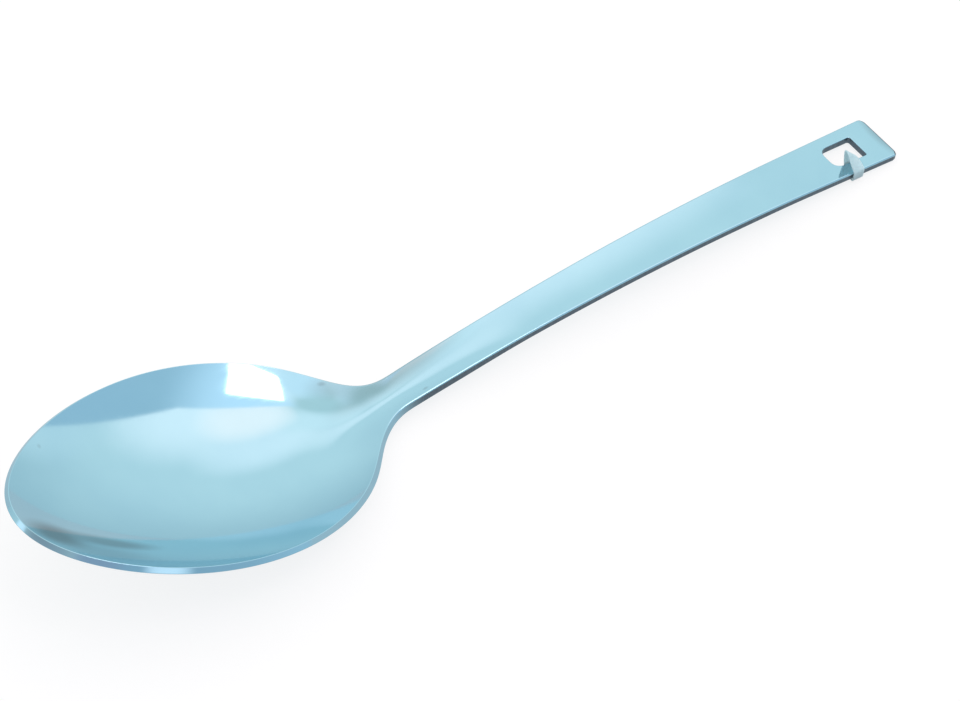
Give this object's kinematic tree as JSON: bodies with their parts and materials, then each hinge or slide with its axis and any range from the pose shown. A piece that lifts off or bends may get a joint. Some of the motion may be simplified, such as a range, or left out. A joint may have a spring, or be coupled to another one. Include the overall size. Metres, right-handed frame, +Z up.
{
  "type": "mini spoon",
  "caption": "Small polished steel spoon with an egg-shaped bowl, a narrow neck, a handle that widens to a square hang hole, and a tie band looped through the hole.",
  "frame": {"origin": "on the table, under the middle of the whole length", "axes": "+X along the handle from the bowl to the handle's end, +Z up out of the bowl, +Y across"},
  "size_m": [0.1784, 0.0456, 0.0234],
  "materials": {
    "polished_steel": "polished stainless steel with a cool tint, mirror-like in the bowl and satin on the handle",
    "tie_band": "pale translucent plastic"
  },
  "bodies": {
    "spoon": {"spoon": "polished_steel"},
    "hang_loop": {"hang_loop": "tie_band"}
  },
  "joints": [
    {"name": "loop_slide", "type": "slide", "parent": "spoon", "child": "hang_loop", "axis": [0.9938, 0, -0.1108], "range_m": [-0.0005, 0.0017]}
  ]
}
